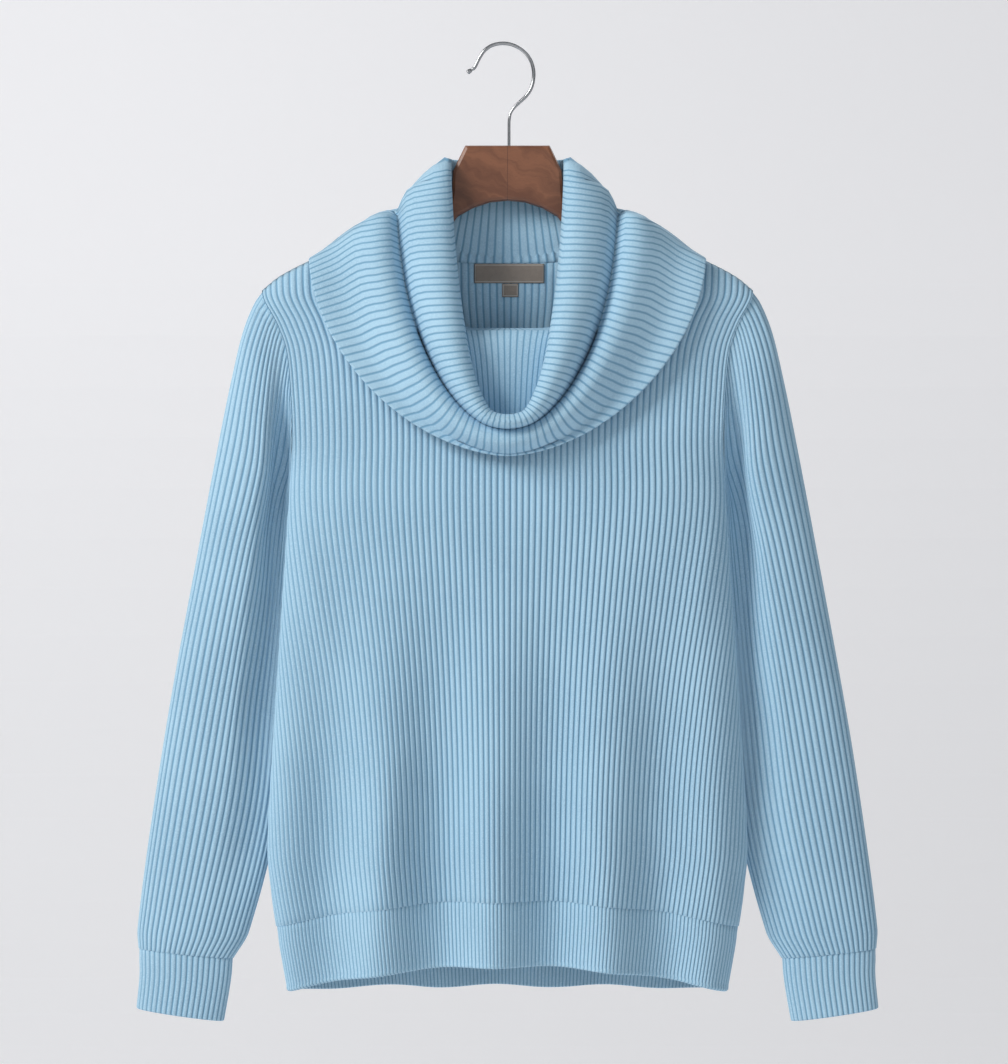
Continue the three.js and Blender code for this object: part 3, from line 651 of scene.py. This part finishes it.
def collar(name, material):
    """Collar: one wall through the neck seam and its rings, up inside the neck, over and down."""
    front, back = COLLAR_RIBS["front"] // 2, COLLAR_RIBS["back"] // 2
    ahead = round_angles(95, 190, 2.1, 0, np.pi / 2, np.linspace(0, 1, front * RIB_STEPS + 1))
    behind = round_angles(95, 95, 2, np.pi / 2, np.pi, np.linspace(0, 1, back * RIB_STEPS + 1))[1:]
    half = np.concatenate([ahead, behind])
    angle = np.concatenate([half, 2 * np.pi - half[:-1][::-1]])
    ribs = np.arange(len(angle)) / RIB_STEPS
    lines = np.stack([neck_point(angle, WALL)] + [ring_point(ring, angle) for ring in COLLAR])
    base, at = along_rows(lines, COLLAR_ROWS)
    left = (at[-1] - at)[:, None]
    start = smooth((at / at[-1])[:, None] * 60)
    relief = groove(ribs, GROOVE["collar"])[None, :] * start * flattened(left, 0.6)
    outer = base + outward(base, 1) * (relief - bead(left, COLLAR_BEAD))[..., None]
    plain, at_in = along_rows(lines, COLLAR_ROWS_IN)
    inner = plain + outward(plain, 1) * WALL
    inner[0] = neck_point(angle, 0)
    run = wall_rows(at, at_in)[:, None] * -MM
    return make_mesh(name, closed_wall(outer, inner, LIP["collar"]), ribs[None, :], run, material)


def tape(name, size, material):
    """Woven tape: a thin slab laid along the inside of the back panel, with a raised rim."""
    x = np.linspace(size["left"], size["right"], 49)[None, :]
    z = np.linspace(size["top"], size["bottom"], 15)[:, None]
    u = x / half_width(z)
    inside = panel_point(BACK, u, z, WALL)
    away = np.array([0.0, -1.0, 0.0])
    edge = np.minimum(
        np.minimum(x - size["left"], size["right"] - x), np.minimum(size["top"] - z, z - size["bottom"])
    )
    swell = LABEL_WALL * (0.55 + 0.45 * smooth(edge / 1.2)) + SEAM_GAP
    near = inside + away * swell[..., None]
    far = inside + away * SEAM_GAP
    run = wall_rows(z, z) * MM
    return make_mesh(name, closed_wall(near, far, LIP["tape"]), x * MM, run, material, len(z))


def swept(name, path, radius, sides, material, steps):
    """Round bar: a circle of the given radius carried along a smooth curve in the XZ plane."""
    line, _ = along_rows(np.array(path, float)[:, None, :], steps)
    line = line[:, 0]
    ahead = np.gradient(line, axis=0)
    ahead /= np.linalg.norm(ahead, axis=1, keepdims=True)
    side = np.stack([-ahead[:, 1], ahead[:, 0]], axis=1)
    a = np.linspace(0, 2 * np.pi, sides + 1)
    r = np.interp(np.linspace(0, 1, steps), *radius)[:, None]
    x = line[:, :1] + r * side[:, :1] * np.cos(a)
    z = line[:, 1:] + r * side[:, 1:] * np.cos(a)
    y = r * np.sin(a) + 0 * x
    rows = np.stack([x, y, z], axis=-1)
    ends = [np.broadcast_to(rows[k].mean(axis=0), rows[k].shape) for k in (0, -1)]
    rows = np.concatenate([ends[0][None], rows, ends[1][None]])
    index = np.arange(rows[..., 0].size).reshape(rows.shape[:2])
    index[:, -1] = index[:, 0]
    index[0], index[-1] = index[0, 0], index[-1, 0]
    faces = halves(index[:-1], index[1:])
    faces = faces[unlike(faces)]
    points = rows.reshape(-1, 3)
    if inside_out(points, faces):
        faces = faces[:, ::-1]
    return put_mesh(name, points, faces, material)


# Materials


class Nodes:
    """Short hands for a material's node tree."""

    def __init__(self, name):
        self.material = bpy.data.materials.new(name)
        self.material.use_nodes = True
        self.tree = self.material.node_tree
        self.tree.nodes.clear()
        self.shader = self.tree.nodes.new("ShaderNodeBsdfPrincipled")
        out = self.tree.nodes.new("ShaderNodeOutputMaterial")
        self.tree.links.new(self.shader.outputs["BSDF"], out.inputs["Surface"])

    def link(self, value, socket):
        if isinstance(value, bpy.types.NodeSocket):
            self.tree.links.new(value, socket)
        else:
            socket.default_value = value

    def math(self, operation, *values, clamped=False):
        node = self.tree.nodes.new("ShaderNodeMath")
        node.operation = operation
        node.use_clamp = clamped
        for value, socket in zip(values, node.inputs):
            self.link(value, socket)
        return node.outputs[0]

    def ramp(self, value, low, high):
        """Smooth step of a value from 0 at low to 1 at high."""
        node = self.tree.nodes.new("ShaderNodeMapRange")
        node.interpolation_type = "SMOOTHSTEP"
        self.link(value, node.inputs["Value"])
        node.inputs["From Min"].default_value = low
        node.inputs["From Max"].default_value = high
        return node.outputs["Result"]

    def noise(self, vector, scale, detail=3.0, rough=0.55):
        node = self.tree.nodes.new("ShaderNodeTexNoise")
        self.link(vector, node.inputs["Vector"])
        node.inputs["Scale"].default_value = scale
        node.inputs["Detail"].default_value = detail
        node.inputs["Roughness"].default_value = rough
        return node.outputs["Fac"]

    def mix(self, share, first, second):
        node = self.tree.nodes.new("ShaderNodeMix")
        node.data_type = "RGBA"
        self.link(share, node.inputs["Factor"])
        self.link(first, node.inputs["A"])
        self.link(second, node.inputs["B"])
        return node.outputs["Result"]

    def bump(self, height, strength, distance):
        node = self.tree.nodes.new("ShaderNodeBump")
        node.inputs["Strength"].default_value = strength
        node.inputs["Distance"].default_value = distance
        self.link(height, node.inputs["Height"])
        self.tree.links.new(node.outputs["Normal"], self.shader.inputs["Normal"])

    def place(self, kind):
        return self.tree.nodes.new("ShaderNodeTexCoord").outputs[kind]

    def axes(self, vector):
        node = self.tree.nodes.new("ShaderNodeSeparateXYZ")
        self.link(vector, node.inputs[0])
        return node.outputs

    def scaled(self, vector, x, y, z):
        node = self.tree.nodes.new("ShaderNodeMapping")
        self.link(vector, node.inputs["Vector"])
        node.inputs["Scale"].default_value = (x, y, z)
        return node.outputs[0]


def rgb(red, green, blue):
    """Linear colour of an 8-bit screen colour."""
    c = np.array([red, green, blue]) / 255
    return (*np.where(c <= 0.04045, c / 12.92, ((c + 0.055) / 1.055) ** 2.4), 1.0)


def rib_knit(name, stitch):
    """Brushed rib knit: painted shade darkening the grooves between ribs, where the ribs shade them,
    slanting stitches up each rib and a soft fibre nap. The pattern's u counts ribs and its v is the
    length along them."""
    n = Nodes(name)
    u, v, _ = n.axes(n.place("UV"))
    off = n.math("ABSOLUTE", n.math("SUBTRACT", u, n.math("ROUND", u)))
    # Painted shade: a share rising from the rib's top to the groove, which stands in for the shade the
    # ribs cast into their grooves
    painted_groove_shade = n.ramp(off, 0.26, 0.5)
    solid = n.place("Object")
    cloud = n.noise(solid, 14.0, 2.0)
    fibre = n.noise(solid, 900.0, 4.0, 0.75)
    light = n.mix(n.ramp(cloud, 0.3, 0.7), rgb(156, 193, 217), rgb(166, 203, 226))
    fleck = n.mix(n.ramp(fibre, 0.35, 0.75), light, rgb(184, 217, 235))
    # Base colour with the painted groove shade mixed in, a darker grey blue towards each groove
    n.link(n.mix(painted_groove_shade, fleck, rgb(114, 159, 189)), n.shader.inputs["Base Color"])
    slant = n.math("ADD", n.math("DIVIDE", v, stitch), n.math("MULTIPLY", off, 1.1))
    stitches = n.math("ABSOLUTE", n.math("SINE", n.math("MULTIPLY", slant, np.pi)))
    crown = n.math("SUBTRACT", 1.0, painted_groove_shade)
    knit = n.math("MULTIPLY", n.math("MULTIPLY", stitches, crown), 0.35)
    height = n.math("ADD", knit, n.math("MULTIPLY", fibre, 0.8))
    n.bump(n.math("ADD", height, n.math("MULTIPLY", crown, 0.8)), 0.5, 0.0006)
    n.shader.inputs["Roughness"].default_value = 0.92
    n.shader.inputs["Specular IOR Level"].default_value = 0.15
    n.shader.inputs["Sheen Weight"].default_value = 0.22
    n.shader.inputs["Sheen Roughness"].default_value = 0.45
    n.shader.inputs["Sheen Tint"].default_value = rgb(214, 234, 246)
    return n.material


def woven_tape(name, size):
    """Woven satin tape: fine warp and weft, and a thin pale line just inside its edges."""
    n = Nodes(name)
    x, _, z = n.axes(n.place("Object"))
    warp = n.math("SINE", n.math("MULTIPLY", x, 2 * np.pi / 0.0006))
    weft = n.math("SINE", n.math("MULTIPLY", z, 2 * np.pi / 0.0005))
    weave = n.math("MULTIPLY", warp, weft)
    cloud = n.noise(n.place("Object"), 220.0, 3.0)
    base = n.mix(n.ramp(cloud, 0.3, 0.7), rgb(124, 112, 103), rgb(139, 127, 116))
    cloth = n.mix(n.ramp(weave, -1.0, 1.0), base, rgb(146, 134, 123))
    beyond = []
    for along, low, high in ((x, size["left"], size["right"]), (z, size["bottom"], size["top"])):
        off = n.math("ABSOLUTE", n.math("SUBTRACT", along, (low + high) / 2 * MM))
        beyond.append(n.math("SUBTRACT", off, ((high - low) / 2 - 1.5) * MM))
    edge = n.math("MAXIMUM", *beyond)
    within = n.math("SUBTRACT", 1.0, n.ramp(edge, 0.0006, 0.0009))
    line = n.math("MULTIPLY", n.math("MULTIPLY", n.ramp(edge, 0.0, 0.0003), within), 0.7)
    n.link(n.mix(line, cloth, rgb(205, 198, 190)), n.shader.inputs["Base Color"])
    n.bump(weave, 0.25, 0.0002)
    n.shader.inputs["Roughness"].default_value = 0.55
    n.shader.inputs["Sheen Weight"].default_value = 0.15
    return n.material


def walnut_wood():
    """Satin walnut: grain drawn by stretched noise that slants across and drifts, a faint joint
    line in the middle, and fine pores."""
    n = Nodes("satin walnut")
    x, y, z = n.axes(n.place("Object"))
    drift = n.math("MULTIPLY", n.noise(n.place("Object"), 45.0, 2.0), 0.03)
    leaning = n.math("ADD", n.math("ADD", z, n.math("MULTIPLY", x, 0.45)), drift)
    spot = n.tree.nodes.new("ShaderNodeCombineXYZ")
    n.link(n.math("MULTIPLY", x, 9.0), spot.inputs[0])
    n.link(n.math("MULTIPLY", y, 60.0), spot.inputs[1])
    n.link(n.math("MULTIPLY", leaning, 90.0), spot.inputs[2])
    grain = n.noise(spot.outputs[0], 1.0, 4.0, 0.6)
    pore = n.noise(n.scaled(n.place("Object"), 300.0, 900.0, 1800.0), 1.0, 2.0)
    brown = n.mix(n.ramp(grain, 0.32, 0.68), rgb(104, 63, 43), rgb(134, 86, 60))
    joint = n.ramp(n.math("ABSOLUTE", x), 0.0, 0.0004)
    deep = n.mix(joint, rgb(80, 50, 37), brown)
    pores = n.math("MULTIPLY", n.ramp(pore, 0.6, 0.75), 0.35)
    n.link(n.mix(pores, deep, rgb(60, 36, 28)), n.shader.inputs["Base Color"])
    n.bump(n.math("ADD", grain, n.math("MULTIPLY", pore, 0.6)), 0.12, 0.0004)
    n.shader.inputs["Roughness"].default_value = 0.42
    n.shader.inputs["Coat Weight"].default_value = 0.12
    n.shader.inputs["Coat Roughness"].default_value = 0.25
    return n.material


def polished_wire():
    """Polished chrome plate with faint drawing marks along the wire."""
    n = Nodes("polished chrome")
    faint = n.noise(n.place("Object"), 600.0, 2.0)
    steel = n.mix(n.ramp(faint, 0.3, 0.7), rgb(160, 162, 165), rgb(176, 178, 180))
    n.link(steel, n.shader.inputs["Base Color"])
    n.bump(faint, 0.01, 0.0001)
    n.shader.inputs["Metallic"].default_value = 1.0
    n.shader.inputs["Roughness"].default_value = 0.16
    return n.material


wool = rib_knit("sky blue rib knit", 0.0022)
wool_fine = rib_knit("sky blue fine rib knit", 0.002)
label_cloth = woven_tape("taupe woven label", LABEL)
tab_cloth = woven_tape("taupe woven tab", TAB)
walnut = walnut_wood()
chrome = polished_wire()

# Camera at the photo's height, square to the front
camera = bpy.data.objects.new("camera", bpy.data.cameras.new("camera"))
bpy.context.scene.collection.objects.link(camera)
CAMERA_AWAY, SEEN_HEIGHT = 3.0, 0.915
camera.location = (-0.003, -CAMERA_AWAY, -0.419)
camera.rotation_euler = (np.pi / 2, 0, 0)
camera.data.lens = 36 * CAMERA_AWAY / SEEN_HEIGHT
camera.data.clip_end = 40
bpy.context.scene.camera = camera


def replace(made, node):
    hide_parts(node)
    return made


front_panel = replace(body_panel("front", FRONT, FRONT_CREASES, wool), "front_panel")
back_panel = replace(body_panel("back", BACK, BACK_CREASES, wool), "back_panel")
hem_front = replace(hem_band("front_hem", FRONT, FRONT_CREASES, wool_fine), "hem_front")
hem_back = replace(hem_band("back_hem", BACK, BACK_CREASES, wool_fine), "hem_back")
sleeves, cuffs = [], []
for hand, side in ((-1, "left"), (1, "right")):
    sleeves.append(replace(sleeve("arm_" + side, hand, wool), "sleeve_" + side))
    cuffs.append(replace(cuff("wrist_" + side, hand, wool_fine), "cuff_" + side))
cowl = replace(collar("cowl", wool), "collar")
label = replace(tape("label", LABEL, label_cloth), "neck_label")
tab = replace(tape("tab", TAB, tab_cloth), "size_tab")

# Hook: its thicker tip, the bend, and the shank down into the wood
hook_path = [
    (-34.6, -24.1), (-33.2, -23.1), (-31.6, -22), (-30.2, -21), (-28.6, -19.9), (-27.3, -17.8),
    (-25.6, -14.2), (-23.2, -9.8), (-19.6, -4.9), (-13.5, -0.7), (-4.6, 1.2), (4.3, -0.1),
    (13, -4.8), (19.1, -11.8), (22.2, -20.8), (22.3, -29.3), (20.1, -38), (15.9, -44.2),
    (10.3, -49.5), (5.2, -54.7), (2.5, -59.3), (1.5, -64.5), (1.3, -70), (1.3, -78), (1.3, -90),
    (1.3, -111),
]
hook_radius = (
    [0, 0.002, 0.006, 0.018, 0.024, 0.035, 0.6, 0.7, 1],
    [1.2, 1.9, 2.1, 2, 1.3, 1.6, 1.6, 1.3, 1.3],
)
hook = replace(swept("hook", hook_path, hook_radius, 24, chrome, 340), "hanger_hook")

wood = bpy.data.objects["hanger_body"]
for wood_slot in wood.material_slots:
    wood_slot.material = walnut
if not wood.material_slots:
    wood.data.materials.append(walnut)


# Floor, a far wall in one sweep with it, and soft light from the upper left
def studio_sweep():
    """Floor that turns up into a wall behind in a quarter circle, far from the sweater."""
    turn = np.linspace(0, np.pi / 2, 24)
    curve = np.stack([6 + 2.5 * np.sin(turn), 0.4 - 2.5 * np.cos(turn)], axis=1)
    y, z = (np.concatenate([[[-9, -2.1]], curve, [[8.5, 9]]]) * 1000).T
    x = np.broadcast_to([-14000.0, 14000.0], (len(y), 2))
    rows = np.stack([x, np.repeat(y[:, None], 2, 1), np.repeat(z[:, None], 2, 1)], -1)
    index = np.arange(x.size).reshape(-1, 2)
    faces = halves(index[:-1], index[1:])
    n = Nodes("pale studio")
    n.shader.inputs["Base Color"].default_value = rgb(236, 236, 238)
    n.shader.inputs["Roughness"].default_value = 0.9
    n.shader.inputs["Emission Color"].default_value = rgb(240, 240, 242)
    n.shader.inputs["Emission Strength"].default_value = 0.26
    mesh = bpy.data.meshes.new("sweep")
    mesh.from_pydata((rows.reshape(-1, 3) * MM).tolist(), [], faces.tolist())
    mesh.materials.append(n.material)
    made = bpy.data.objects.new("sweep", mesh)
    bpy.context.scene.collection.objects.link(made)


def soft_light(name, place, aim, size, power, colour):
    """Square area light at a place, turned to face a point."""
    data = bpy.data.lights.new(name, "AREA")
    data.size = size
    data.energy = power
    data.color = colour
    made = bpy.data.objects.new(name, data)
    made.location = place
    toward = np.array(aim, float) - np.array(place, float)
    toward /= np.linalg.norm(toward)
    made.rotation_euler = (np.arccos(-toward[2]), 0, np.arctan2(toward[0], -toward[1]) + np.pi)
    bpy.context.scene.collection.objects.link(made)


studio_sweep()
world = bpy.data.worlds.new("studio")
bpy.context.scene.world = world
world.use_nodes = True
world.node_tree.nodes["Background"].inputs["Color"].default_value = (0.95, 0.97, 1.0, 1.0)
world.node_tree.nodes["Background"].inputs["Strength"].default_value = 0.3
soft_light("key", (-3.3, -2.5, 2.1), (0, 0, -0.3), 2.0, 182, (1.0, 0.985, 0.96))
soft_light("fill", (0.6, -3.2, 0.9), (0, 0, -0.42), 2.0, 8, (0.95, 0.97, 1.0))
soft_light("wall", (-2.4, 4.2, 1.8), (-1.7, 8.5, 1.4), 1.5, 40, (1.0, 1.0, 1.0))
soft_light("behind", (1.2, 2.6, 1.6), (0, 0, -0.4), 1.6, 20, (1.0, 1.0, 1.0))
bpy.context.scene.view_settings.view_transform = "Standard"
